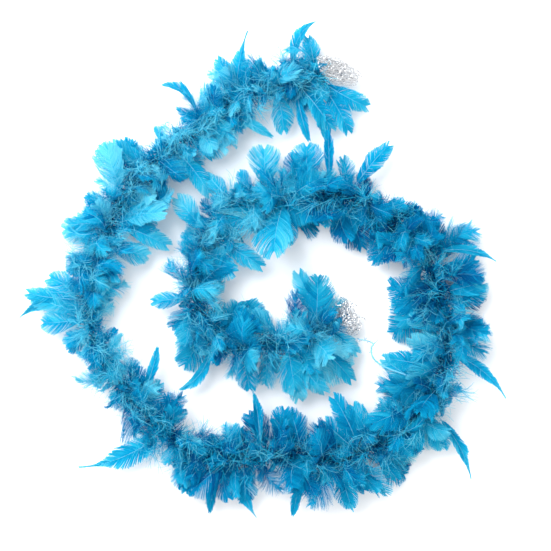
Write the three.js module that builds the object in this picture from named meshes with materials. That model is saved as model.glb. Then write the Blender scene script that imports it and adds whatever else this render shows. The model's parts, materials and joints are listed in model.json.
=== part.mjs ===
// A feather boa lying in an inward spiral on a flat surface.
// A twisted core cord grips the feather quills; the feathers stand round it in bushy sections,
// a few long plumes stray outwards, and each end has a bound knot in a tuft of tinsel.
// Millimetres, +Z up. The origin is under the middle of the whole object, on the surface.

import * as THREE from 'three';
import { mergeVertices } from 'three/addons/utils/BufferGeometryUtils.js';

// ---- driving dimensions ----
const CORE_DIAMETER = 5;
const CORE_SIDES = 8;
const CORE_HEIGHT = 26; // core centreline over the surface, held up by the feathers under it
const SECTION_COUNT = 24;
const STEPS_PER_SECTION = 4; // core and bore share these steps, so the gap between them is even
const END_MARGIN = 14; // core left bare of feathers at each end
const BORE_RADIUS = 3.2;
const SLEEVE_SIDES = 10;
const SECTION_RISE = 33; // top of a section over the core
const SECTION_DROP = 36; // under the core, before the surface flattens it
const BEND_LIMIT_DEG = 46; // the bend that the cone-shaped ends of two sections leave room for
const SECTION_END_GAP = 0.6; // from a boundary to the section's end, at the core
const CORE_END_GAP = 1.3; // from a bending boundary to the end of a length of core

// The core's route seen from above, from the outer end to the inner end, with its height.
const ROUTE = [
  [91, 242, 17], [38, 232, 24], [-27, 214], [-89, 171], [-150, 118], [-183, 71],
  [-204, 11], [-215, -51], [-199, -108], [-165, -157], [-113, -205], [-52, -231],
  [23, -229], [97, -236], [169, -200], [216, -152], [230, -100], [221, -38],
  [199, 24], [163, 61], [110, 92], [48, 92], [-12, 88], [-61, 53],
  [-82, 1], [-79, -51], [-49, -88], [0, -93], [48, -86, 24], [102, -61, 17],
];

// Half the width of each section's dense middle, from the outer end to the inner end.
const SECTION_HALF_WIDTHS = [
  28, 26, 25, 32, 25, 26, 22, 22, 24, 27, 26, 26,
  27, 31, 34, 33, 28, 32, 34, 29, 23, 25, 27, 27,
];

// How full a section is, from its end at the core to its middle.
const SECTION_SWELL = [0, 0.45, 0.8];
const SECTION_FULL_HALF = 15; // half the length of its full middle

// The core is in separate lengths between the boundaries where the boa bends.
const CORE_LENGTHS = [
  { name: 'core_cord_outer_5', from: null, to: 1 },
  { name: 'core_cord_outer_4', from: 1, to: 2 },
  { name: 'core_cord_outer_3', from: 2, to: 3 },
  { name: 'core_cord_outer_2', from: 3, to: 4 },
  { name: 'core_cord_outer_1', from: 4, to: 5 },
  { name: 'core_cord_main', from: 5, to: 21 },
  { name: 'core_cord_inner_1', from: 21, to: 22 },
  { name: 'core_cord_inner_2', from: 22, to: 23 },
  { name: 'core_cord_inner_3', from: 23, to: null },
];

// Ends: a knot past the core, a thread binding round it, and a tuft of tinsel round both.
const KNOT_RADIUS = 5;
const KNOT_GAP = 0.5;
const BINDING = { radius: 4.6, from: 2, to: 11 };
const TUFT_BORE_RADIUS = 6.2;
const OUTER_TUFT = { inward: 12, outward: 32, halfWidth: 16, depth: 14.5, fullest: -4 };
const INNER_TUFT = { inward: 12, outward: 20, halfWidth: 27, depth: 14.5, fullest: -6 };

// Long stray plumes on the outside of the spiral: how far along the core each stands (mm),
// where its tip is, how high it lies, how wide it is, and how far it bows to its left.
const PLUMES = [
  { name: 'outer_curl', along: 50, tip: [68, 310], height: 30, width: 13, bow: 9 },
  { name: 'outer_spike', along: 128, tip: [-17, 296], height: 36, width: 9, bow: -3 },
  { name: 'outer_left_curl', along: 184, tip: [-126, 230], height: 30, width: 10, bow: -8 },
  { name: 'left_fan', along: 464, tip: [-304, -61], height: 22, width: 26, bow: 8 },
  { name: 'lower_left_drift', along: 648, tip: [-231, -247], height: 16, width: 18, bow: 7 },
  { name: 'bottom_point', along: 738, tip: [-6, -310], height: 20, width: 20, bow: -8 },
  { name: 'bottom_right_point', along: 868, tip: [114, -302], height: 24, width: 19, bow: 9 },
  { name: 'lower_right_spike', along: 1000, tip: [261, -263], height: 18, width: 12, bow: 8 },
  { name: 'right_lower_point', along: 1072, tip: [304, -162], height: 26, width: 14, bow: 8 },
  { name: 'right_upper_point', along: 1196, tip: [293, 9], height: 28, width: 16, bow: 8 },
  { name: 'inner_low_curl', along: 1640, tip: [-104, -152], height: 20, width: 13, bow: 9 },
];
const PLUME_THICKNESS = 2.4;
const PLUME_CLEARANCE = 4; // from the side of its section to the plume's foot
const PLUME_CURVE_STEPS = 5;

// ---- materials ----
const softMaterial = (color, roughness) =>
  new THREE.MeshStandardMaterial({ color, roughness, metalness: 0 });
const sectionMaterial = () => softMaterial(0x2f9ecd, 0.85);
const plumeMaterial = () => softMaterial(0x55bbe1, 0.8);
const coreMaterial = () => softMaterial(0x04669a, 0.9);
const bindingMaterial = () => softMaterial(0x0a78b0, 0.7);
const tinselMaterial = () =>
  new THREE.MeshStandardMaterial({ color: 0xc9ccd2, roughness: 0.25, metalness: 1 });

// ---- the route, measured along its length ----
const routeCurve = new THREE.CatmullRomCurve3(
  ROUTE.map(([x, y, z = CORE_HEIGHT]) => new THREE.Vector3(x, y, z)), false, 'catmullrom', 0.5);
routeCurve.arcLengthDivisions = 3000;
export const ROUTE_LENGTH = routeCurve.getLength();
const SECTION_PITCH = (ROUTE_LENGTH - 2 * END_MARGIN) / SECTION_COUNT;
const UP = new THREE.Vector3(0, 0, 1);

// The point, level direction and level sideways direction at a distance along the core.
// Beyond either end the route runs on straight and level.
export function station(along) {
  const inside = THREE.MathUtils.clamp(along, 0, ROUTE_LENGTH);
  const point = routeCurve.getPointAt(inside / ROUTE_LENGTH);
  const forward = routeCurve.getTangentAt(inside / ROUTE_LENGTH).setZ(0).normalize();
  const left = new THREE.Vector3().crossVectors(UP, forward);
  return { point: point.addScaledVector(forward, along - inside), forward, left };
}

// Where one section ends and the next begins: boundary 0 is at the outer end.
export const boundary = (index) => END_MARGIN + index * SECTION_PITCH;

// ---- shapes ----
// A ring round the core: a closed [radius, along] profile is turned, stretched sideways, upwards
// and downwards (the bore keeps its size), bent along the route and flattened on the surface.
function sleeve({ profile, middle, boreRadius, fullRadius, halfWidth, rise, drop }) {
  const outline = [...profile, profile[0]].map(([radius, along]) => new THREE.Vector2(radius, along));
  let geometry = new THREE.LatheGeometry(outline, SLEEVE_SIDES);
  geometry.deleteAttribute('normal');
  geometry.deleteAttribute('uv');
  geometry = mergeVertices(geometry, 1e-3);
  const position = geometry.attributes.position;
  for (let i = 0; i < position.count; i += 1) {
    const radius = Math.hypot(position.getX(i), position.getZ(i));
    const share = (radius - boreRadius) / (fullRadius - boreRadius);
    const reach = (limit) => (boreRadius + share * (limit - boreRadius)) / radius;
    const { point, left } = station(middle + position.getY(i));
    point.addScaledVector(left, -position.getX(i) * reach(halfWidth));
    point.z += position.getZ(i) * reach(position.getZ(i) > 0 ? rise : drop);
    position.setXYZ(i, point.x, point.y, Math.max(point.z, 0));
  }
  geometry.computeVertexNormals();
  return geometry;
}

// A bushy section of feathers between two boundaries, with cone-shaped ends.
function sectionGeometry(index) {
  const halfWidth = SECTION_HALF_WIDTHS[index];
  const fullRadius = Math.max(halfWidth, SECTION_RISE);
  const coneSlope = Math.tan(THREE.MathUtils.degToRad(BEND_LIMIT_DEG / 2));
  const outside = SECTION_SWELL.map((share) => {
    const radius = BORE_RADIUS + share * (fullRadius - BORE_RADIUS);
    return [radius, SECTION_PITCH / 2 - SECTION_END_GAP - coneSlope * radius];
  });
  outside.push([fullRadius, SECTION_FULL_HALF]);
  const mirrored = outside.map(([radius, along]) => [radius, -along]);
  const bore = [];
  for (let step = 1; step < STEPS_PER_SECTION; step += 1) {
    bore.push([BORE_RADIUS, SECTION_PITCH * (0.5 - step / STEPS_PER_SECTION)]);
  }
  return sleeve({
    profile: [...mirrored, [fullRadius, 0], ...outside.reverse(), ...bore],
    middle: boundary(index + 0.5), boreRadius: BORE_RADIUS, fullRadius,
    halfWidth, rise: SECTION_RISE, drop: SECTION_DROP,
  });
}

// A length of core cord between two distances along the route.
function coreGeometry(start, end) {
  class CoreLine extends THREE.Curve {
    getPoint(t) {
      return station(THREE.MathUtils.lerp(start, end, t)).point;
    }
  }
  const section = new THREE.Shape();
  for (let side = 0; side < CORE_SIDES; side += 1) {
    const angle = (2 * Math.PI * side) / CORE_SIDES;
    const corner = [Math.cos(angle), Math.sin(angle)].map((part) => (part * CORE_DIAMETER) / 2);
    if (side === 0) section.moveTo(...corner);
    else section.lineTo(...corner);
  }
  const steps = Math.round(((end - start) / SECTION_PITCH) * STEPS_PER_SECTION);
  return new THREE.ExtrudeGeometry(section, { steps, extrudePath: new CoreLine(), curveSegments: 1 });
}

// A thread binding round the core, near either end.
function bindingGeometry(middle) {
  const half = (BINDING.to - BINDING.from) / 2;
  const profile = [
    [BORE_RADIUS, -half], [BINDING.radius, -half], [BINDING.radius, half], [BORE_RADIUS, half],
  ];
  return sleeve({
    profile, middle, boreRadius: BORE_RADIUS, fullRadius: BINDING.radius,
    halfWidth: BINDING.radius, rise: BINDING.radius, drop: BINDING.radius,
  });
}

// A tuft of tinsel round an end's knot and binding. "outward" is the way that the end points.
function tuftGeometry({ inward, outward, halfWidth, depth, fullest }, end, outwardSign) {
  const outside = [
    [TUFT_BORE_RADIUS, inward], [9, inward], [depth, -fullest + 8], [depth, fullest],
    [11, -outward + 9], [TUFT_BORE_RADIUS + 1, -outward], [TUFT_BORE_RADIUS, -outward],
  ];
  const profile = outside.map(([radius, along]) => [radius, -along * outwardSign]);
  if (outwardSign > 0) profile.push([TUFT_BORE_RADIUS, 0]);
  else profile.reverse().unshift([TUFT_BORE_RADIUS, 0]);
  return sleeve({
    profile, middle: end, boreRadius: TUFT_BORE_RADIUS, fullRadius: depth,
    halfWidth, rise: depth, drop: depth,
  });
}

// A plume lying flat: a bowed leaf from its foot beside the boa to its tip.
function plumeGeometry({ along, tip, width, bow }) {
  const index = Math.floor((along - END_MARGIN) / SECTION_PITCH);
  const { point, left } = station(along);
  const foot = point.addScaledVector(left, -(SECTION_HALF_WIDTHS[index] + PLUME_CLEARANCE));
  const reach = new THREE.Vector2(tip[0] - foot.x, tip[1] - foot.y);
  const length = reach.length();
  const leaf = new THREE.Shape();
  leaf.moveTo(0, -width / 8);
  leaf.quadraticCurveTo(length * 0.5, bow - width, length, 0);
  leaf.quadraticCurveTo(length * 0.5, bow + width, 0, width / 8);
  const geometry = new THREE.ExtrudeGeometry(leaf, {
    depth: PLUME_THICKNESS, bevelEnabled: false, curveSegments: PLUME_CURVE_STEPS,
  });
  geometry.rotateZ(reach.angle());
  geometry.translate(foot.x, foot.y, 0);
  return geometry;
}

// ---- the boa ----
const boa = new THREE.Group();

function addPiece(name, geometry, material) {
  const mesh = new THREE.Mesh(geometry, material);
  mesh.name = name;
  boa.add(mesh);
  return mesh;
}

SECTION_HALF_WIDTHS.forEach((_, index) => {
  const number = String(index + 1).padStart(2, '0');
  addPiece(`feather_section_${number}`, sectionGeometry(index), sectionMaterial());
});

CORE_LENGTHS.forEach(({ name, from, to }) => {
  const start = from === null ? 0 : boundary(from) + CORE_END_GAP;
  const end = to === null ? ROUTE_LENGTH : boundary(to) - CORE_END_GAP;
  addPiece(name, coreGeometry(start, end), coreMaterial());
});

const ENDS = [
  { name: 'outer', end: 0, outwardSign: -1, tuft: OUTER_TUFT },
  { name: 'inner', end: ROUTE_LENGTH, outwardSign: 1, tuft: INNER_TUFT },
];
ENDS.forEach(({ name, end, outwardSign, tuft }) => {
  const knot = addPiece(`${name}_end_knot`, new THREE.SphereGeometry(KNOT_RADIUS, 10, 7), coreMaterial());
  knot.position.copy(station(end + outwardSign * (KNOT_RADIUS + KNOT_GAP)).point);
  const bindingMiddle = end - (outwardSign * (BINDING.from + BINDING.to)) / 2;
  addPiece(`${name}_thread_binding`, bindingGeometry(bindingMiddle), bindingMaterial());
  addPiece(`${name}_tinsel_tuft`, tuftGeometry(tuft, end, outwardSign), tinselMaterial());
});

PLUMES.forEach((plume) => {
  const mesh = addPiece(`plume_${plume.name}`, plumeGeometry(plume), plumeMaterial());
  mesh.position.z = plume.height;
});

export default boa;
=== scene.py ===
"""A turquoise feather boa lying in an inward spiral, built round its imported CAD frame."""

import json
import math

import bpy
import numpy as np
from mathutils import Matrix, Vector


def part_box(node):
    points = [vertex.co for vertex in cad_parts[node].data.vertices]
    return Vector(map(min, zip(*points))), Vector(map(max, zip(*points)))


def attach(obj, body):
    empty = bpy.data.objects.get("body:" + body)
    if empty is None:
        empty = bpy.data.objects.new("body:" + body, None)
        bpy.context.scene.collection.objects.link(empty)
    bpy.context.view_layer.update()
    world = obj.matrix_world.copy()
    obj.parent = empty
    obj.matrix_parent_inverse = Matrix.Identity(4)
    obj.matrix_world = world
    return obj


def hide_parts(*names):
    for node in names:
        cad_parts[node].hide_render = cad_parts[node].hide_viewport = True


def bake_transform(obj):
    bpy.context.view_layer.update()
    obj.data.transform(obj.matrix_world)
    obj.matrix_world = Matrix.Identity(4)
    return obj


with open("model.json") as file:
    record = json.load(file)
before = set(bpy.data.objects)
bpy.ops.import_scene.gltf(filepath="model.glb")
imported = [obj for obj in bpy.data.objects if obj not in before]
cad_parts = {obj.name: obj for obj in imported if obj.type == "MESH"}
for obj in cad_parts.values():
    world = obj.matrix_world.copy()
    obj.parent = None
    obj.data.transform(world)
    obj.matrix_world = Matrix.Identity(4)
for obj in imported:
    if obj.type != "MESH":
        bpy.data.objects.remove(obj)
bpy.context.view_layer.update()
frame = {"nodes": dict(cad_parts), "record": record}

MM = 0.001
UP = np.array([0.0, 0.0, 1.0])
TAU = 2 * math.pi

# ---- driving dimensions, in metres: the same as the CAD model's ----
CORE_DIAMETER = 5 * MM
CORE_HEIGHT = 26
SECTION_COUNT = 24
END_MARGIN = 14 * MM
ROUTE = [
    [91, 242, 17], [38, 232, 24], [-27, 214], [-89, 171], [-150, 118], [-183, 71],
    [-204, 11], [-215, -51], [-199, -108], [-165, -157], [-113, -205], [-52, -231],
    [23, -229], [97, -236], [169, -200], [216, -152], [230, -100], [221, -38],
    [199, 24], [163, 61], [110, 92], [48, 92], [-12, 88], [-61, 53],
    [-82, 1], [-79, -51], [-49, -88], [0, -93], [48, -86, 24], [102, -61, 17],
]
# Each bending boundary between two sections: its joint and the bodies on its outer and inner side.
BENDS = {
    1: ("outer_lift_3", "outer_run_5", "outer_run_4"),
    2: ("outer_swing_2", "outer_run_4", "outer_run_3"),
    3: ("outer_lift_2", "outer_run_3", "outer_run_2"),
    4: ("outer_swing_1", "outer_run_2", "outer_run_1"),
    5: ("outer_lift_1", "outer_run_1", "main_run"),
    21: ("inner_swing_1", "main_run", "inner_run_1"),
    22: ("inner_lift_1", "inner_run_1", "inner_run_2"),
    23: ("inner_lift_2", "inner_run_2", "inner_run_3"),
}

# ---- feathers ----
# How full each section looks, judged from the outer end inwards, one letter a section:
# sparse, thin, usual, full or bushy, on the side towards the inside of the spiral and the outside.
REACH_OF = {"s": 16, "t": 26, "u": 37, "f": 47, "b": 57}  # mm from the core
INSIDE_FULLNESS = "uuuubttuutftububffbfuufb"
OUTSIDE_FULLNESS = "uutfuutstfubftubtuuttuff"
# How light or deep each section is coloured: light, usual or deep. This is painted light and shade: lighter
# along the upper left, where the key light is, and deeper along the bottom and the right.
TONE_OF = {"l": 0.1, "u": 0.0, "d": -0.13}
SECTION_TONES = "ulllllludddduuudddulluul"
# Feathers that stand out from the rest, also judged: the section, the place along it, the
# side of the spiral, the lean along the core and the kind of feather.
PLACES = {"start": 0.15, "middle": 0.5, "end": 0.85}
LEANS = {"far back": -50, "back": -25, "straight": 0, "on": 25}  # degrees
KINDS = {"tuft": (56, 11), "broad": (62, 16), "fan": (66, 23), "long": (84, 13), "strip": (82, 7)}
STANDING_OUT = [
    (1, "start", "inside", "far back", "long"),
    (1, "start", "inside", "back", "long"),
    (1, "start", "inside", "straight", "strip"),
    (1, "middle", "inside", "back", "long"),
    (1, "middle", "inside", "straight", "strip"),
    (1, "end", "inside", "straight", "broad"),
    (1, "start", "outside", "straight", "tuft"),
    (2, "end", "inside", "back", "strip"),
    (2, "middle", "outside", "straight", "tuft"),
    (3, "end", "inside", "straight", "long"),
    (4, "end", "inside", "on", "broad"),
    (4, "middle", "outside", "straight", "tuft"),
    (4, "end", "outside", "back", "tuft"),
    (5, "middle", "inside", "straight", "long"),
    (5, "end", "inside", "straight", "broad"),
    (5, "middle", "outside", "on", "tuft"),
    (6, "end", "outside", "back", "broad"),
    (6, "end", "outside", "straight", "long"),
    (7, "start", "outside", "back", "long"),
    (7, "start", "outside", "straight", "broad"),
    (8, "end", "inside", "back", "strip"),
    (10, "start", "outside", "straight", "broad"),
    (10, "middle", "outside", "straight", "strip"),
    (10, "end", "outside", "straight", "broad"),
    (11, "start", "inside", "straight", "strip"),
    (11, "middle", "inside", "straight", "broad"),
    (11, "end", "inside", "back", "broad"),
    (11, "end", "outside", "straight", "strip"),
    (12, "middle", "outside", "straight", "broad"),
    (12, "middle", "outside", "on", "tuft"),
    (12, "end", "inside", "straight", "long"),
    (12, "end", "inside", "back", "broad"),
    (13, "start", "inside", "back", "broad"),
    (13, "start", "inside", "straight", "broad"),
    (13, "start", "outside", "straight", "tuft"),
    (13, "end", "outside", "on", "tuft"),
    (14, "start", "inside", "straight", "broad"),
    (14, "middle", "inside", "straight", "long"),
    (14, "end", "inside", "straight", "long"),
    (14, "start", "outside", "back", "broad"),
    (15, "end", "inside", "straight", "broad"),
    (15, "middle", "outside", "straight", "tuft"),
    (16, "start", "inside", "straight", "broad"),
    (16, "start", "outside", "straight", "broad"),
    (16, "middle", "outside", "straight", "broad"),
    (17, "middle", "inside", "straight", "broad"),
    (18, "middle", "inside", "straight", "tuft"),
    (18, "middle", "outside", "back", "long"),
    (18, "end", "outside", "straight", "strip"),
    (19, "start", "outside", "straight", "fan"),
    (19, "middle", "inside", "straight", "broad"),
    (19, "end", "outside", "straight", "fan"),
    (20, "middle", "outside", "straight", "tuft"),
    (21, "start", "inside", "straight", "long"),
    (21, "start", "outside", "back", "broad"),
    (22, "start", "outside", "straight", "tuft"),
    (23, "middle", "outside", "straight", "broad"),
    (24, "start", "outside", "straight", "long"),
    (24, "start", "outside", "on", "long"),
    (24, "middle", "outside", "on", "long"),
    (24, "middle", "outside", "straight", "fan"),
    (24, "end", "inside", "straight", "long"),
    (24, "end", "inside", "on", "tuft"),
    (24, "end", "outside", "on", "tuft"),
]
STANDING_OUT_SWAY = 0.2  # radians that they bend sideways, alternately clockwise and not

# The shape of each of the CAD's long plumes: how much it bends on its way to its tip (radians,
# anticlockwise), its half-width (mm) and how strongly it thins out towards the tip.
PLUME_SHAPES = {
    "outer_curl": (-1.4, 9, 0.5), "outer_spike": (-0.3, 18, 1.4), "outer_left_curl": (1.6, 6, 0.2),
    "left_fan": (1.2, 9, 0.6), "lower_left_drift": (-0.6, 27, 1.4), "bottom_point": (0.5, 10, 0.8),
    "bottom_right_point": (0.3, 10, 0.5), "lower_right_spike": (-0.6, 9, 0.9),
    "right_lower_point": (-0.7, 13, 0.9), "right_upper_point": (-0.9, 8, 0.7),
    "inner_low_curl": (-1.2, 8, 0.3),
}
LARGE_PER_SECTION = 13
SMALL_PER_SECTION = 17
# the dark tufts are coloured as painted shade deep in the fluff
DARK_TUFTS_PER_SECTION = 10
# the light tufts are coloured as a painted highlight on top of the fluff
LIGHT_TUFTS_PER_SECTION = 11
BEND_ZONE = 13 * MM  # feathers rooted this close to a bend go into the piece across it
SIDEWAYS_SHARE = 0.74  # of the fluff's feathers; the others stand up
FLUFF_SEED = 41
DOWN_SEED = 141
STANDING_OUT_SEED = 241
FLUFF_TOP = 69 * MM
FLOOR_GAP = 1.1 * MM

# ---- thread and film at the ends ----
THREAD_TURNS = 14
THREAD_POINTS = 260
THREAD_RADIUS = 0.38 * MM
OUTER_FILM_STRANDS = 60
INNER_FILM_STRANDS = 24
FILM_COLUMNS = 70  # places for strands, side by side in the unrolled layout

# ---- view ----
IMAGE_WIDTH = 683 * MM  # what the picture takes in, at the boa's middle height
VIEW_CENTRE = (17 * MM, -8 * MM)
CAMERA_HEIGHT = 2.6


# ======================================================================= the route
def catmull_rom(points, per_span):
    """The uniform Catmull-Rom curve through the points, as the CAD model has it."""
    ends = [2 * points[0] - points[1]], [2 * points[-1] - points[-2]]
    p = np.concatenate([ends[0], points, ends[1]])
    t = np.linspace(0, 1, per_span, endpoint=False)[:, None]
    spans = []
    for a, b, c, d in zip(p, p[1:], p[2:], p[3:]):
        spans.append(0.5 * (2 * b + (c - a) * t + (2 * a - 5 * b + 4 * c - d) * t**2
                            + (3 * b - a - 3 * c + d) * t**3))
    return np.concatenate([*spans, points[-1:]])


LINE = catmull_rom(np.array([[*p, CORE_HEIGHT][:3] for p in ROUTE], float) * MM, 60)
LINE_AT = np.concatenate([[0], np.cumsum(np.linalg.norm(np.diff(LINE, axis=0), axis=1))])
LENGTH = LINE_AT[-1]
PITCH = (LENGTH - 2 * END_MARGIN) / SECTION_COUNT


def unit(v):
    """The vectors, each scaled to length 1."""
    return v / np.maximum(np.linalg.norm(v, axis=-1, keepdims=True), 1e-12)


def on_line(along):
    """Points of the core's centreline at distances along it."""
    return np.stack([np.interp(along, LINE_AT, LINE[:, i]) for i in range(3)], axis=-1)


def station(along):
    """The centreline's point, level direction and level left-hand side at a distance along it."""
    inside = min(max(along, 0), LENGTH)
    near = np.clip([inside - MM, inside + MM], 0, LENGTH)
    step = np.diff(on_line(near), axis=0)[0]
    forward = unit(step * [1, 1, 0])
    return on_line(inside) + forward * (along - inside), forward, np.cross(UP, forward)


def boundary(index):
    """How far along the core a section begins, where the one at the outer end is 0."""
    return END_MARGIN + index * PITCH


def body_at(section):
    """The body that a section (0 at the outer end) rides on."""
    if section < 5:
        return f"outer_run_{5 - section}"
    return f"inner_run_{section - 20}" if section > 20 else "main_run"


# ======================================================================= camera
camera = bpy.data.objects.new("camera", bpy.data.cameras.new("camera"))
bpy.context.scene.collection.objects.link(camera)
camera.data.lens = camera.data.sensor_width * (CAMERA_HEIGHT - CORE_HEIGHT * MM) / IMAGE_WIDTH
camera.location = (*VIEW_CENTRE, CAMERA_HEIGHT)
camera.data.clip_end = 20
bpy.context.scene.camera = camera


# ======================================================================= materials
def new_material(name):
    """A material with its nodes, its links and its shader."""
    material = bpy.data.materials.new(name)
    material.use_nodes = True
    nodes = material.node_tree.nodes
    return material, nodes, material.node_tree.links, nodes["Principled BSDF"]


def colour_ramp(nodes, stops):
    """A ramp node through (position, colour) stops."""
    ramp = nodes.new("ShaderNodeValToRGB")
    for position, colour in stops[1:-1]:
        ramp.color_ramp.elements.new(position).color = (*colour, 1)
    for element, (position, colour) in zip((ramp.color_ramp.elements[0], ramp.color_ramp.elements[-1]),
                                           (stops[0], stops[-1])):
        element.position = position
        element.color = (*colour, 1)
    return ramp


def add_grain(material, shader, scale, roughness, height):
    """Fine unevenness: the roughness wanders between two values and the surface rises and falls."""
    nodes, links = material.node_tree.nodes, material.node_tree.links
    place = nodes.new("ShaderNodeTexCoord")
    noise = nodes.new("ShaderNodeTexNoise")
    noise.inputs["Scale"].default_value = scale
    noise.inputs["Detail"].default_value = 3
    links.new(place.outputs["Object"], noise.inputs["Vector"])
    wander = nodes.new("ShaderNodeMapRange")
    wander.inputs["From Min"].default_value = 0.3
    wander.inputs["From Max"].default_value = 0.7
    wander.inputs["To Min"].default_value = roughness[0]
    wander.inputs["To Max"].default_value = roughness[1]
    links.new(noise.outputs["Fac"], wander.inputs["Value"])
    links.new(wander.outputs["Result"], shader.inputs["Roughness"])
    bump = nodes.new("ShaderNodeBump")
    bump.inputs["Distance"].default_value = height
    bump.inputs["Strength"].default_value = 0.6
    links.new(noise.outputs["Fac"], bump.inputs["Height"])
    links.new(bump.outputs["Normal"], shader.inputs["Normal"])
    return noise


def dyed_material(name, stops, translucency, roughness, sheen, grain_scale=900):
    """Dyed feather or thread: its tone comes from the mesh, broken up by fine streaks of noise. On the
    feathers that tone also holds painted light and shade.
    """
    material, nodes, links, shader = new_material(name)
    tone = nodes.new("ShaderNodeAttribute")
    tone.attribute_name = "tone"
    noise = add_grain(material, shader, grain_scale, roughness, 0.3 * MM)
    spread = nodes.new("ShaderNodeMath")
    spread.operation = "MULTIPLY_ADD"
    spread.inputs[1].default_value = 0.24
    links.new(noise.outputs["Fac"], spread.inputs[0])
    links.new(tone.outputs["Fac"], spread.inputs[2])
    ramp = colour_ramp(nodes, stops)
    links.new(spread.outputs[0], ramp.inputs["Fac"])
    links.new(ramp.outputs["Color"], shader.inputs["Base Color"])
    shader.inputs["Specular IOR Level"].default_value = 0.03
    shader.inputs["Sheen Weight"].default_value = sheen
    shader.inputs["Sheen Roughness"].default_value = 0.4
    shader.inputs["Sheen Tint"].default_value = (0.45, 0.85, 1.0, 1)
    if translucency:
        glow = nodes.new("ShaderNodeBsdfTranslucent")
        links.new(ramp.outputs["Color"], glow.inputs["Color"])
        mix = nodes.new("ShaderNodeMixShader")
        mix.inputs["Fac"].default_value = translucency
        links.new(shader.outputs[0], mix.inputs[1])
        links.new(glow.outputs[0], mix.inputs[2])
        links.new(mix.outputs[0], nodes["Material Output"].inputs["Surface"])
    return material


def tinsel_material():
    """Metallised film: bright metal whose polish varies along the crinkles."""
    material, nodes, links, shader = new_material("silver_film")
    noise = add_grain(material, shader, 700, (0.12, 0.42), 0.2 * MM)
    ramp = colour_ramp(nodes, [(0.3, (0.36, 0.37, 0.39)), (0.7, (0.88, 0.89, 0.91))])
    links.new(noise.outputs["Fac"], ramp.inputs["Fac"])
    links.new(ramp.outputs["Color"], shader.inputs["Base Color"])
    shader.inputs["Metallic"].default_value = 1.0
    return material


FEATHER_STOPS = [
    (0.0, (0.0, 0.027, 0.135)), (0.3, (0.0, 0.135, 0.355)),
    (0.62, (0.001, 0.35, 0.61)), (0.82, (0.02, 0.505, 0.72)), (1.0, (0.16, 0.67, 0.82)),
]
VANE = dyed_material("dyed_vane", FEATHER_STOPS, 0.42, (0.48, 0.72), 0.02)
QUILL = dyed_material("dyed_quill", [(0, (0.05, 0.42, 0.68)), (1, (0.35, 0.78, 0.92))], 0, (0.28, 0.5), 0)
STRAND = dyed_material("dyed_strand", [(0, (0.002, 0.08, 0.25)), (1, (0.02, 0.28, 0.55))], 0, (0.7, 0.9), 0.3)
THREAD_STOPS = [(0, (0.004, 0.12, 0.34)), (1, (0.03, 0.34, 0.6))]
THREAD = dyed_material("binding_thread", THREAD_STOPS, 0, (0.4, 0.65), 0.4)
FILM = tinsel_material()


# ======================================================================= meshes
class Bundle:
    """Collects strips and tubes into one mesh, with a tone and an unrolled place for each point."""

    def __init__(self):
        self.points, self.faces, self.tones, self.places, self.slots = [], [], [], [], []
        self.count = 0
        self.cells = 0

    def grid(self, points, tones, places, slot=0, closed=False):
        """points is (strips, stations, rows, 3). Closed strips join their last row to their first."""
        n, stations, rows, _ = points.shape
        index = self.count + np.arange(n * stations * rows).reshape(n, stations, rows)
        if closed:
            index = np.concatenate([index, index[:, :, :1]], axis=2)
        corners = (index[:, :-1, :-1], index[:, :-1, 1:], index[:, 1:, 1:], index[:, 1:, :-1])
        faces = np.stack(corners, axis=-1).reshape(-1, 4)
        self.points.append(points.reshape(-1, 3))
        self.faces.append(faces)
        self.tones.append(np.broadcast_to(tones, points.shape[:3]).reshape(-1))
        self.places.append(np.broadcast_to(places, (*points.shape[:3], 2)).reshape(-1, 2))
        self.slots.append(np.full(len(faces), slot))
        self.count += n * stations * rows

    def ribbons(self, centre, across, half_width, tones, places, slot=0):
        """Flat strips: centre and across are (strips, stations, 3), the rest broadcast."""
        offset = across * half_width[..., None]
        points = np.stack([centre - offset, centre + offset], axis=2)
        self.grid(points, tones[..., None], places[:, :, None, :], slot)

    def tubes(self, centre, radius, sides, tones, places, slot=0, flatten=1.0):
        """Round tubes along (strips, stations, 3) centre lines."""
        tangent = unit(np.gradient(centre, axis=1))
        guide = np.where(np.abs(tangent[..., 2:]) > 0.9, [1.0, 0, 0], [0, 0, 1.0])
        side = unit(np.cross(tangent, guide))
        other = np.cross(tangent, side)
        turn = np.arange(sides) * TAU / sides
        ring = (side[:, :, None] * np.cos(turn)[:, None]
                + other[:, :, None] * np.sin(turn)[:, None] * flatten)
        points = centre[:, :, None] + ring * radius[..., None, None]
        self.grid(points, tones[..., None], places[:, :, None, :], slot, closed=True)

    def build(self, name, materials, smooth=True):
        """Turns everything collected so far into one object."""
        points = np.concatenate(self.points)
        faces = np.concatenate(self.faces)
        mesh = bpy.data.meshes.new(name)
        mesh.vertices.add(len(points))
        mesh.vertices.foreach_set("co", points.astype(np.float32).ravel())
        mesh.loops.add(faces.size)
        mesh.loops.foreach_set("vertex_index", faces.astype(np.int32).ravel())
        mesh.polygons.add(len(faces))
        mesh.polygons.foreach_set("loop_start", np.arange(0, faces.size, 4, dtype=np.int32))
        mesh.polygons.foreach_set("material_index", np.concatenate(self.slots).astype(np.int32))
        mesh.polygons.foreach_set("use_smooth", np.full(len(faces), smooth))
        mesh.update(calc_edges=True)
        tone = mesh.attributes.new("tone", "FLOAT", "POINT")
        tone.data.foreach_set("value", np.concatenate(self.tones).astype(np.float32))
        places = np.concatenate(self.places)[faces.ravel()]
        mesh.uv_layers.new(name="OFBake").data.foreach_set("uv", places.astype(np.float32).ravel())
        for material in materials:
            mesh.materials.append(material)
        piece = bpy.data.objects.new(name, mesh)
        bpy.context.scene.collection.objects.link(piece)
        return piece


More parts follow.
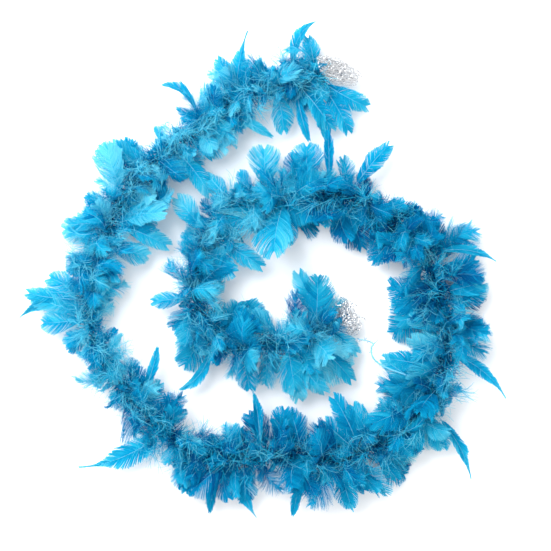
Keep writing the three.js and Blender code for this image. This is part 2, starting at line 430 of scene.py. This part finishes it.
def settle(points):
    """Keeps points over the surface and under the top of the fluff, with a soft squeeze near both."""
    z = points[..., 2]
    low = 5 * MM
    z = np.where(z < low, FLOOR_GAP + (low - FLOOR_GAP) * np.exp((np.minimum(z, low) - low) / low), z)
    high = FLUFF_TOP - 14 * MM
    squeezed = high + (FLUFF_TOP - high) * np.tanh((z - high) / (FLUFF_TOP - high))
    points = points.copy()
    points[..., 2] = np.where(z > high, squeezed, z)
    return points


# ======================================================================= a feather
CELLS_ACROSS = 8  # each feather has its own square cell in its piece's unrolled map


def cell_place(cell, across, along):
    """Where a point of a feather lies in the unrolled map: across -1..1 and along 0..1."""
    corner = np.array([cell % CELLS_ACROSS, (cell // CELLS_ACROSS) % CELLS_ACROSS], float)
    inside = np.stack([0.5 + 0.46 * across, 0.04 + 0.92 * along], axis=-1)
    return (corner + inside) / CELLS_ACROSS


def drift_along(rng, at, knots, size):
    """A random value that changes smoothly along a feather."""
    return np.interp(at, np.linspace(0, 1, knots), rng.normal(0, size, knots))


def walk(start, directions, reach):
    """Lines from start that follow the directions at their stations, each reach long."""
    middle = (directions[:, 1:] + directions[:, :-1]) / 2
    steps = middle * (reach / middle.shape[1])[:, None, None]
    return np.concatenate([start[:, None], start[:, None] + np.cumsum(steps, axis=1)], axis=1)


class Spine:
    """A feather's curved quill: it curls towards face and sways sideways."""

    def __init__(self, root, heading, face, length, curl, sway):
        self.length = length
        self.t = np.linspace(0, 1, 15)
        bend = (curl * self.t**1.35)[:, None]
        drift = (sway * self.t**1.4)[:, None]
        side = np.cross(heading, face)
        ahead = np.cos(bend) * heading + np.sin(bend) * face
        self.ahead = np.cos(drift) * ahead + np.sin(drift) * side
        self.flat = np.cos(bend) * face - np.sin(bend) * heading
        self.line = walk(root[None], self.ahead[None], np.array([length]))[0]

    def at(self, values, where):
        return np.stack([np.interp(where, self.t, values[:, i]) for i in range(3)], axis=-1)


def vane(bundle, rng, spine, cell, hand, half_width, tone, barbs, foot, cup, point, sweep, wild,
         spread, taper):
    """The barbs on one side of the quill: soft, clinging together in small locks, and long enough
    to reach an oval outline. foot is where the vane starts; point narrows its tip and taper thins
    it all the way along. wild is how far the barbs stray from the vane, from 0 for a smooth web to
    1 for loose marabou. spread is how far they open from the quill, near 1 for a broad feather and
    less for a slim one."""
    at = np.sort(foot + (0.985 - foot) * (np.arange(barbs) + rng.uniform(0, 0.9, barbs)) / barbs)
    part = (at - foot) / (1 - foot)
    ahead = unit(spine.at(spine.ahead, at))
    flat = unit(spine.at(spine.flat, at))
    out = unit(np.cross(ahead, flat)) * hand

    locks = rng.integers(4, 9) if wild < 0.2 else rng.integers(9, 15)
    lock = np.searchsorted(np.sort(rng.uniform(0, 1, locks - 1)), part)
    lock_middle = np.array([part[lock == w].mean() if (lock == w).any() else 0 for w in range(locks)])
    gather = (part - lock_middle[lock]) * min(wild, 0.35) + rng.normal(0, 0.02 + 0.12 * wild, locks)[lock]
    lift = rng.normal(0, 0.12 + 0.3 * wild, locks)[lock] + drift_along(rng, at, 5, 0.25 + 0.3 * wild)

    q = np.linspace(0, 1, 6)
    angle = spread * np.radians(72 - 40 * part) + drift_along(rng, at, 5, 0.05 + 0.15 * wild)
    angle = angle + rng.normal(0, 0.03, barbs)
    waves = [drift_along(rng, at, 16, size) + rng.normal(0, size * 0.5, barbs) for size in
             (0.06 + 0.55 * wild, 0.06 + 0.6 * wild)]
    stray = gather + drift_along(rng, at, 7, 0.05 + 0.3 * wild)
    turn = angle[:, None] * (1 - sweep * q) + stray[:, None] * q**1.3
    droop = (cup + lift)[:, None] * q * 1.2 - 0.1
    turn_tip, droop_tip = (wave[:, None] * q**2 for wave in waves)

    # how far each barb has to go to meet the oval
    middle, half_length = (foot + 1.14) / 2 * spine.length, (1.14 - foot) / 2 * spine.length
    slant = turn.mean(axis=1)
    ca, sa = np.cos(slant) / half_length, np.sin(slant) / half_width
    x0 = (at * spine.length - middle) / half_length
    square = ca**2 + sa**2
    reach = (-x0 * ca + np.sqrt(np.maximum(x0**2 * ca**2 - square * (x0**2 - 1), 0))) / square
    reach *= (1 - point * part**2) * (1 - part) ** taper * np.minimum(0.5 + 1.5 * part, 1)
    uneven = rng.uniform(0.95 - 0.3 * wild, 1.03 + 0.1 * wild, barbs)
    reach *= uneven * rng.normal(1, 0.01 + 0.06 * wild, locks)[lock]
    reach = np.maximum(reach, 2 * MM)
    turn = turn + turn_tip
    droop = droop + droop_tip

    directions = (np.cos(droop)[..., None]
                  * (np.cos(turn)[..., None] * ahead[:, None] + np.sin(turn)[..., None] * out[:, None])
                  + np.sin(droop)[..., None] * flat[:, None])
    centre = walk(spine.at(spine.line, at), directions, reach)
    lying = unit(np.cross(flat[:, None], directions))
    twist = rng.normal(0, 0.3, barbs)[:, None, None]
    across = unit(lying * np.cos(twist) + flat[:, None] * np.sin(twist))
    spacing = spine.length * (1 - foot) / barbs
    full = 0.72 if wild < 0.2 else 0.56
    thin = 0.15 + 0.55 * min(2 * wild, 1)
    thickness = spacing * full * (1 - thin * q**2.5) * rng.uniform(0.8, 1.1, (barbs, 1))
    # painted shade: each barb is darker at the quill and towards the vane's foot near the core, and lighter
    # out towards its tip and the feather's tip
    shade = tone - 0.16 + 0.16 * q + 0.2 * part[:, None]
    shade = shade + (rng.normal(0, 0.06, barbs) + rng.normal(0, 0.05 + 0.06 * wild, locks)[lock])[:, None]
    where = cell_place(cell, hand * (0.06 + 0.94 * q) * np.ones((barbs, 1)), at[:, None] + 0 * q)
    bundle.ribbons(settle(centre), across, thickness, shade, where)


def curls(bundle, rng, root, first, reach, curve, width, tone, cell):
    """Single barbs that each curl away on their own."""
    number = len(root)
    bend = unit(np.cross(first, rng.normal(0, 1, (number, 3))))
    q = np.linspace(0, 1, 8)
    arc = (rng.normal(0, curve, number)[:, None] * q)[..., None]
    directions = np.cos(arc) * first[:, None] + np.sin(arc) * bend[:, None]
    directions = unit(directions + rng.normal(0, 0.10, (number, 8, 3)))
    centre = walk(root, directions, reach)
    lying = unit(np.cross(directions, unit(rng.normal(0, 1, (number, 1, 3)))))
    thickness = width * (1 - 0.6 * q) * rng.uniform(0.7, 1.2, (number, 1))
    # painted shade and light: each barb is darker at its root, deep in the fluff, and lighter towards its tip
    shade = tone[:, None] + 0.3 * q
    across = np.where(np.arange(number) % 2, 1, -1)[:, None] * q
    where = cell_place(cell, across, np.linspace(0, 1, number)[:, None] * np.ones(8))
    bundle.ribbons(settle(centre), lying, thickness, shade, where)


def loose_barbs(bundle, rng, spine, cell, number, between, reach, tone, curve, width):
    """Barbs that have come away from part of a quill."""
    if not number:
        return
    at = rng.uniform(*between, number)
    first = unit(rng.normal(0, 1, (number, 3)) + 0.6 * unit(spine.at(spine.ahead, at)))
    curls(bundle, rng, spine.at(spine.line, at), first, reach * rng.uniform(0.6, 1.3, number), curve,
          width, tone + rng.normal(0, 0.15, number), cell)


def feather(bundle, rng, root, heading, face, length, half_width, curl, sway, tone,
            barbs=54, foot=0.2, cup=0.5, down=10, wisps=8, point=0.2, sweep=0.4, wild=0.3,
            spread=1.0, taper=0, stem=0.35 * MM):
    """One feather: its quill, two vanes of barbs, loose down at its foot and a few stray barbs."""
    cell = bundle.cells
    bundle.cells += 1
    spine = Spine(root, heading, face, length, curl, sway)
    t = spine.t
    # painted shade: the quill is darker at its root near the core and lighter towards its tip
    bundle.tubes(settle(spine.line)[None], (stem * (1 - 0.8 * t))[None], 3, (tone - 0.1 + 0.2 * t)[None],
                 cell_place(cell, np.zeros_like(t), t)[None], slot=1)
    for hand in (-1, 1):
        vane(bundle, rng, spine, cell, hand, half_width, tone, barbs, foot, cup, point, sweep, wild, spread,
             taper)
    loose_barbs(bundle, rng, spine, cell, down, (0.02, foot + 0.15), 22 * MM, tone, 1.6, 0.28 * MM)
    # painted highlight: the stray barbs are coloured lighter than the feather
    loose_barbs(bundle, rng, spine, cell, wisps, (0.2, 0.9), half_width, tone + 0.2, 1.0, 0.22 * MM)


# ======================================================================= the fluff
def turned(level, angle):
    """A level direction turned anticlockwise."""
    return math.cos(angle) * level + math.sin(angle) * np.cross(UP, level)


def between_sections(along, letters, value_of):
    """A value given by one letter for each section, blended between the sections' middles."""
    middles = boundary(np.arange(SECTION_COUNT) + 0.5)
    return np.interp(along, middles, [value_of[letter] for letter in letters])


def reach_at(along, hand):
    """How far the fluff reaches to the left (1) or right (-1) of the core."""
    return between_sections(along, INSIDE_FULLNESS if hand > 0 else OUTSIDE_FULLNESS, REACH_OF) * MM


def painted_light_and_shade_at(along):
    """How much lighter (+) or deeper (-) the feathers are coloured at a distance along the core: painted
    light and shade.
    """
    return between_sections(along, SECTION_TONES, TONE_OF)


def wave(along, period, shift):
    """A slow change along the core: neighbouring feathers lean, bend and take the dye alike."""
    return math.sin(TAU * along / (period * MM * 3.7) + 2.2 * shift + period)


def placed_feather(bundle, rng, along, side, lean, kind, sway):
    """One of the feathers that stand out: it arches out of the fluff and down again."""
    point, forward, left = station(along)
    hand = 1 if side == "inside" else -1
    lean = math.radians(LEANS[lean])
    length, half_width = KINDS[kind]
    level = turned(math.cos(lean) * left * hand + math.sin(lean) * forward, 0.42 * sway)
    slim = half_width <= 10
    heading = unit(level + 0.3 * UP)
    face = unit(-UP + heading * heading[2] + rng.normal(0, 0.08, 3))
    # the section's painted light and shade is added to this feather's tone
    feather(bundle, rng, point, heading, face, length * MM * 0.93, half_width * MM, 0.75, -sway,
            tone=rng.uniform(0.5, 0.66) + painted_light_and_shade_at(along), cup=0.25, sweep=0.5, barbs=124, foot=0.24,
            wisps=6, point=0.6 if slim else 0.15, wild=0.12, spread=0.6 if slim else 1, stem=0.5 * MM)


def fluff_feather(bundle, rng, along, large):
    """A feather standing out of the core at a distance along it, mostly to one side."""
    point, forward, left = station(along)
    side = rng.random() < SIDEWAYS_SHARE
    turn = rng.normal(0.18, 0.42) if side else rng.normal(math.pi / 2, 0.4)
    hand = 1 if rng.random() < 0.5 else -1
    left = left * hand
    reach = reach_at(along, hand)
    radial = math.cos(turn) * left + math.sin(turn) * UP
    lean = 0.6 * wave(along, 37, hand) + rng.normal(0, 0.38)
    if along < 30 * MM or along > LENGTH - 30 * MM:
        # at the ends the fluff leans back from the tinsel
        lean = (abs(lean) + 0.5) * (1 if along < 30 * MM else -1)
        reach *= 0.8 if side else 0.5
    heading = unit(math.cos(lean) * radial + math.sin(lean) * forward + rng.normal(0, 0.1, 3))
    # the section's painted light and shade is added to the feather's own tone
    tone = rng.normal(0.46, 0.1) + 0.1 * wave(along, 13, hand) + 0.08 * wave(along, 29, -hand) + painted_light_and_shade_at(along)
    if side:
        # out to the side: a smooth web whose flat faces up or down, bending mostly in its own plane
        face = UP * (1 if rng.random() < 0.3 else -1) + rng.normal(0, 0.3, 3)
        curl = rng.uniform(-0.3, 0.9)
        sway = 0.7 * wave(along, 21, 2 * hand) + rng.normal(0, 0.35)
        wild = rng.choice([0.12, 0.19, 0.5])
        tone += 0.06
    else:
        # up: looser barbs, curling over to any side and lying along the outside of the fluff
        around = rng.uniform(0, TAU)
        face = math.cos(around) * left + math.sin(around) * forward + rng.normal(0, 0.2, 3)
        curl = rng.uniform(1.2, 2.6)
        sway = rng.normal(0, 0.5)
        wild = rng.choice([0.4, 0.65, 0.9])
        reach = min(reach, 38 * MM)
    face = unit(face - heading * (face @ heading))
    length = reach * (1 + 0.14 * abs(curl)) / math.cos(min(abs(lean), 0.8)) ** 0.6
    length *= 1 + 0.14 * wave(along, 17, hand)
    if large:
        length *= rng.uniform(0.95, 1.2)
        wide, narrow, spread = rng.uniform(0.3, 0.42), rng.uniform(0, 0.3), 1.0
    else:
        length *= rng.uniform(0.6, 1.05)
        wide, narrow, spread = rng.uniform(0.14, 0.34), rng.uniform(0.1, 0.7), rng.uniform(0.6, 1.0)
    feather(bundle, rng, point + radial * CORE_DIAMETER * 0.3, heading, face, length,
            length * wide, curl, sway, tone=tone, cup=rng.uniform(0.0, 0.8), point=narrow,
            sweep=rng.uniform(0.1, 0.9), wild=wild, spread=spread, wisps=2 if side else 8,
            barbs=128 if large else 84)


def scatter_down(pick, rng, section, tufts, dark):
    """Loose down round the core: a dense mat coloured dark, which is painted shade deep in the fluff, or
    tufts of barbs lying on top of it, coloured light as a painted highlight.
    """
    for tuft in range(tufts):
        along = boundary(section) + PITCH * (tuft + rng.uniform(0, 1)) / tufts
        bundle = pick(along)
        cell = bundle.cells
        bundle.cells += 1
        count = 64 if dark else 34
        turn = rng.uniform(-0.3, math.pi + 0.3, count) if dark else rng.uniform(0.1, 0.9) * math.pi
        out = (rng.uniform(0, 6, count) if dark else rng.uniform(6, 30) + rng.normal(0, 2.5, count)) * MM
        frames = [station(a) for a in along + rng.normal(0, 3 * MM, count)]
        point, _, left = (np.array([f[i] for f in frames]) for i in range(3))
        turn = turn + np.zeros(count)
        radial = np.cos(turn)[:, None] * left + np.sin(turn)[:, None] * UP
        if dark:
            first = unit(radial + 0.9 * rng.normal(0, 1, (count, 3)))
            reach, curve, width = rng.uniform(12, 25, count) * MM, 1.2, 0.75 * MM
            room = np.where(np.cos(turn) > 0, reach_at(along, 1), reach_at(along, -1))
            reach *= np.clip(room / (36 * MM), 0.45, 1)
            # painted shade: the mat low round the core takes a dark tone
            tone = rng.uniform(-0.06, 0.28, count)
        else:
            common = 0.5 * radial + unit(rng.normal(0, 1, 3)) * [1, 1, 0.3]
            first = unit(1.1 * common + rng.normal(0, 0.55, (count, 3)))
            reach, curve, width = rng.uniform(14, 34, count) * MM, 1.5, 0.34 * MM
            # painted highlight: the tufts lying on top take a light tone
            tone = rng.uniform(0.4, 0.95, count)
        # the section's painted light and shade is added to the down's tone
        tone = tone + TONE_OF[SECTION_TONES[section]]
        curls(bundle, rng, point + radial * out[:, None], first, reach, curve, width, tone, cell)


def grow_fluff():
    """All of the fluff: one piece for each section, and one across each bend."""
    sections = [Bundle() for _ in range(SECTION_COUNT)]
    bends = {index: Bundle() for index in BENDS}

    def pick(along):
        near = min(BENDS, key=lambda index: abs(boundary(index) - along))
        if abs(boundary(near) - along) < BEND_ZONE:
            return bends[near]
        return sections[min(int((max(along - END_MARGIN, 0)) / PITCH), SECTION_COUNT - 1)]

    for section in range(SECTION_COUNT):
        rng = np.random.default_rng(FLUFF_SEED + section)
        order = rng.permutation([True] * LARGE_PER_SECTION + [False] * SMALL_PER_SECTION)
        for item, large in enumerate(order):
            along = boundary(section) + PITCH * (item + rng.uniform(0, 1)) / len(order)
            fluff_feather(pick(along), rng, along, large)
        rng = np.random.default_rng(DOWN_SEED + section)
        scatter_down(pick, rng, section, DARK_TUFTS_PER_SECTION, dark=True)
        scatter_down(pick, rng, section, LIGHT_TUFTS_PER_SECTION, dark=False)
    for number, (section, place, *shape) in enumerate(STANDING_OUT):
        along = boundary(section - 1) + PITCH * PLACES[place]
        sway = STANDING_OUT_SWAY if number % 2 else -STANDING_OUT_SWAY
        rng = np.random.default_rng(STANDING_OUT_SEED + number)
        placed_feather(pick(along), rng, along, *shape, sway)
    for section, bundle in enumerate(sections):
        piece = bundle.build(f"feathers_{section + 1:02d}", [VANE, QUILL])
        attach(piece, body_at(section))
        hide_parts(f"feather_section_{section + 1:02d}")
    for index, bundle in bends.items():
        joint, outer, inner = BENDS[index]
        piece = bundle.build(f"bend_feathers_{joint}", [VANE, QUILL])
        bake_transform(piece)


# ======================================================================= the core
def two_ply(name, start, end):
    """Two strands twisted round each other between two distances along the core."""
    along = np.linspace(start, end, max(int((end - start) / (1.4 * MM)), 8))
    middle = on_line(along)
    tangent = unit(np.gradient(middle, axis=0))
    left = unit(np.cross(UP, tangent))
    over = np.cross(tangent, left)
    lay = 13 * MM
    bundle = Bundle()
    ply = CORE_DIAMETER / 4
    for half in (0, math.pi):
        turn = (TAU * along / lay + half)[:, None]
        line = middle + ply * (np.cos(turn) * left + np.sin(turn) * over)
        fibre = 0.35 + 0.25 * np.sin(TAU * along / (3.1 * MM))
        place = np.stack([np.full_like(along, 0.25 + half / 7), (along - start) / (end - start)], axis=-1)
        bundle.tubes(line[None], np.full((1, len(along)), ply), 10, fibre[None], place[None])
    piece = bundle.build(name, [STRAND])
    return piece


def core():
    """The core cord: a rigid length fixed to the run at each end and to the main run, and a length across
    each joint, fixed to no body.
    """
    middle_of = lambda section: boundary(section + 0.5)
    tip = two_ply("core_outer_end", 0.0, middle_of(0))
    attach(tip, body_at(0))
    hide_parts("core_cord_outer_5")
    for index, (joint, outer, inner) in BENDS.items():
        piece = two_ply(f"core_{joint}", middle_of(index - 1), middle_of(index))
        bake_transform(piece)
        replaced = {5: "core_cord_outer_1", 21: "core_cord_inner_1", 22: "core_cord_inner_2"}
        if index < 5:
            replaced[index] = f"core_cord_outer_{5 - index}"
        if index in replaced:
            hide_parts(replaced[index])
    main = two_ply("core_main", middle_of(5), middle_of(20))
    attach(main, "main_run")
    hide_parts("core_cord_main")
    inner_end = two_ply("core_inner_end", middle_of(23), LENGTH)
    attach(inner_end, body_at(23))
    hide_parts("core_cord_inner_3")


# ======================================================================= the ends
def end_frame(end):
    """At an end of the core: its point, the way it points, its left-hand side and its body."""
    point, forward, left = station(0.0 if end == "outer" else LENGTH)
    sign = -1 if end == "outer" else 1
    return point, forward * sign, left * sign, body_at(0 if end == "outer" else SECTION_COUNT - 1)


def knot(end):
    """A tight trefoil of the cord's own strand."""
    _, outward, side, body = end_frame(end)
    low, high = (np.array(c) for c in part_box(f"{end}_end_knot"))
    centre, size = (low + high) / 2, (high - low).min() / 2
    t = np.linspace(0, TAU, 90)
    ring = np.stack([np.sin(t) + 2 * np.sin(2 * t), np.cos(t) - 2 * np.cos(2 * t), -np.sin(3 * t)], axis=-1)
    strand = 0.27 * size
    ring *= (size - strand) / np.abs(ring).max()
    line = centre + ring[:, :1] * outward + ring[:, 1:2] * side + ring[:, 2:] * UP
    bundle = Bundle()
    place = np.stack([np.full_like(t, 0.5), t / TAU], axis=-1)
    bundle.tubes(line[None], np.full((1, len(t)), strand), 8, (0.4 + 0.2 * np.sin(20 * t))[None], place[None])
    piece = bundle.build(f"{end}_knot", [STRAND])
    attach(piece, body)
    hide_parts(f"{end}_end_knot")


def binding(end):
    """Turns of thread wound tightly round the core."""
    _, _, side, body = end_frame(end)
    reach = np.linspace(2.4, 10.6, THREAD_POINTS) * MM
    turn = TAU * np.linspace(0, THREAD_TURNS, THREAD_POINTS)[:, None]
    middle = on_line(reach if end == "outer" else LENGTH - reach)
    radius = CORE_DIAMETER / 2 + 0.75 * MM
    thickness = np.full((1, THREAD_POINTS), THREAD_RADIUS)
    line = middle + radius * (np.cos(turn) * side + np.sin(turn) * UP)
    bundle = Bundle()
    place = np.stack([np.full(THREAD_POINTS, 0.5), np.linspace(0, 1, THREAD_POINTS)], axis=-1)
    bundle.tubes(line[None], thickness, 6, np.full((1, THREAD_POINTS), 0.5), place[None])
    piece = bundle.build(f"{end}_binding", [THREAD])
    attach(piece, body)
    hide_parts(f"{end}_thread_binding")


def film_strand(bundle, rng, end, corners, number, wide, crinkle):
    """One strand of crinkled film through corners given outwards, sideways and up from the end."""
    point, outward, side, _ = end_frame(end)
    line = catmull_rom(np.array(corners, float) * MM, 7)
    line = point + (line + rng.normal(0, crinkle * MM, line.shape)) @ np.stack([outward, side, UP])
    t = np.linspace(0, 1, len(line))
    place = np.stack([np.full(len(line), (number + 0.5) / FILM_COLUMNS), t], axis=-1)
    bundle.tubes(settle(line)[None], np.full((1, len(line)), wide), 4, np.full((1, len(line)), 0.5),
                 place[None], flatten=0.35)


def outer_tinsel(bundle, rng):
    """A tapering tangle of strands that run out along the tuft and fold back."""
    for strand in range(OUTER_FILM_STRANDS):
        reach = rng.uniform(0.45, 1.0) if strand % 3 else rng.uniform(0.2, 0.5)
        there = np.array([0.04, 0.3, 0.62, 0.9, 1.0, 0.88, 0.55, 0.25, 0.03]) * reach
        there = np.clip(there + rng.normal(0, 0.035, 9), 0, 1)
        # the tuft is widest near its foot and comes to a point, drooping to one side
        half = 17 * np.sqrt(np.sin(np.pi * np.clip(there * 0.9 + 0.09, 0, 1)))
        first, last = rng.uniform(-1, 1, (2, 2))
        mix = np.linspace(0, 1, 9)[:, None]
        across = np.clip(first * (1 - mix) + last * mix + rng.normal(0, 0.16, (9, 2)), -1, 1)
        corners = np.stack([-19 + 52 * there, 15 - 25 * there + half * across[:, 0],
                            16 - 8 * there + 0.7 * half * across[:, 1]], axis=-1)
        film_strand(bundle, rng, "outer", corners, strand, 0.42 * MM, 0.22)


def inner_tinsel(bundle, rng):
    """Open loops and curls of film standing across the end of the boa."""
    for strand in range(INNER_FILM_STRANDS):
        outwards = rng.uniform(1, 12)
        sideways = -21 + 42 * (strand + rng.uniform(0, 1)) / INNER_FILM_STRANDS
        middle = np.array([outwards, sideways, rng.uniform(-6, 16)])
        loop = rng.uniform(4.5, 8.5)
        turn = rng.uniform(0, TAU) + np.linspace(0, rng.uniform(1.1, 1.9) * TAU, 13)
        u = unit(rng.normal(0, 1, 3) * [1, 1, 0.45])
        v = unit(np.cross(u, rng.normal(0, 0.4, 3) + [0, 0, 1]))
        size = loop * rng.uniform(0.7, 1.1, 13)[:, None]
        curl = middle + size * (np.cos(turn)[:, None] * u + np.sin(turn)[:, None] * v * 0.75)
        curl += np.linspace(-0.5, 0.5, 13)[:, None] * rng.normal(0, 5, 3)
        tail = np.array([[-9, middle[1] * 0.12, 0], [-2, middle[1] * 0.5, middle[2] * 0.4]])
        film_strand(bundle, rng, "inner", np.concatenate([tail, curl]), strand, 0.5 * MM, 0.2)


def tinsel(end, seed, shape):
    """One end's tuft of film, in the given function's shape."""
    bundle = Bundle()
    shape(bundle, np.random.default_rng(seed))
    piece = bundle.build(f"{end}_tinsel", [FILM], smooth=False)
    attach(piece, end_frame(end)[3])
    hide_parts(f"{end}_tinsel_tuft")


# ======================================================================= stray plumes
def plume_from_node(node, body, seed):
    """A long feather in the place of its CAD leaf: from the core out to the leaf's tip."""
    rng = np.random.default_rng(seed)
    corners = np.array([v.co for v in frame["nodes"][node].data.vertices])
    root = LINE[min(range(len(LINE)), key=lambda i: np.linalg.norm(corners - LINE[i], axis=1).min())]
    tip = corners[np.argmax(np.linalg.norm(corners - root, axis=1))]
    bend, half_width, taper = PLUME_SHAPES[node.removeprefix("plume_")]
    broad = half_width > 12
    length = np.linalg.norm(tip - root) * (1 + 0.03 * bend**2)
    heading = unit(turned(unit((tip - root) * [1, 1, 0]), -0.42 * bend) + [0, 0, (tip - root)[2] / length])
    face = unit(UP - heading * heading[2])
    bundle = Bundle()
    feather(bundle, rng, root, heading, face, length * 0.98, half_width * MM, 0.1, -bend, tone=0.6,
            barbs=110, foot=0.12 if broad else 0.25, cup=0.25, wild=0.15 if broad else 0.06,
            spread=0.8 if broad else 0.45, point=0.3, sweep=0.3, taper=taper)
    piece = bundle.build(f"stray_{node}", [VANE, QUILL])
    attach(piece, body)
    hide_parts(node)


def stripped_quill():
    """A bare quill with a fork near its tip, curling out of the main run towards the inner end."""
    rng = np.random.default_rng(5)
    bundle = Bundle()
    corners = [station(1030 * MM)[0]]
    # each stretch of it: its length (mm), its level direction (degrees) and its rise (mm)
    for reach, direction, rise in ((36, 166, 6), (36, 160, 2), (18, 143, -3), (12, 101, -3), (6, 66, -1),
                                   (7, 149, -1), (13, 169, -3)):
        angle = math.radians(direction)
        step = np.array([reach * math.cos(angle), reach * math.sin(angle), rise]) * MM
        corners.append(corners[-1] + step)
    line = catmull_rom(np.array(corners), 8)
    fork = catmull_rom(line[38] + np.array([[0, 0, 0], [2, 3, 0], [5, 5, 1], [6, 9, 1.5]]) * MM, 6)
    for path, start in ((line, 1.1), (fork, 0.5)):
        t = np.linspace(0, 1, len(path))
        bundle.tubes(settle(path)[None], ((start - 0.55 * start * t) * MM)[None], 8,
                     (0.25 + 0.2 * t)[None], cell_place(0, 0 * t, t)[None], slot=1)
    root = line[rng.integers(8, len(line), 90)]
    first = unit(rng.normal(0, 1, (90, 3)) + 0.8 * unit(line[-1] - line[0]))
    curls(bundle, rng, root, first, rng.uniform(2, 6, 90) * MM, 0.8, 0.25 * MM, rng.uniform(0.1, 0.5, 90), 1)
    piece = bundle.build("stripped_quill", [VANE, QUILL])
    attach(piece, "main_run")


# ======================================================================= build it
core()
for end in ("outer", "inner"):
    knot(end)
    binding(end)
tinsel("outer", 7, outer_tinsel)
tinsel("inner", 8, inner_tinsel)
stripped_quill()
grow_fluff()
for number, (body, nodes) in enumerate(frame["record"]["behaviour"]["bodies"].items()):
    for offset, node in enumerate(n for n in nodes if n.startswith("plume_")):
        plume_from_node(node, body, seed=100 + 10 * number + offset)

# ---- surface and light ----
bpy.ops.mesh.primitive_plane_add(size=8)
floor = bpy.context.object
floor.name = "floor"
floor_material, _, _, floor_shader = new_material("pale_floor")
floor_shader.inputs["Base Color"].default_value = (0.97, 0.97, 0.97, 1)
add_grain(floor_material, floor_shader, 60, (0.85, 0.95), 0.1 * MM)
floor.data.materials.append(floor_material)

world = bpy.data.worlds.new("studio")
world.use_nodes = True
world.node_tree.nodes["Background"].inputs["Color"].default_value = (1, 1, 1, 1)
world.node_tree.nodes["Background"].inputs["Strength"].default_value = 1.2
bpy.context.scene.world = world


def area_light(name, place, size, energy):
    """A soft square light that faces the origin."""
    light = bpy.data.objects.new(name, bpy.data.lights.new(name, "AREA"))
    light.data.size = size
    light.data.energy = energy
    light.location = place
    direction = -np.array(place)
    light.rotation_euler = (math.atan2(math.hypot(*direction[:2]), -direction[2]), 0,
                            math.atan2(direction[1], direction[0]) - math.pi / 2)
    bpy.context.scene.collection.objects.link(light)


area_light("key", (-0.7, 0.75, 1.4), 1.2, 34)
bpy.context.scene.view_settings.view_transform = "Standard"
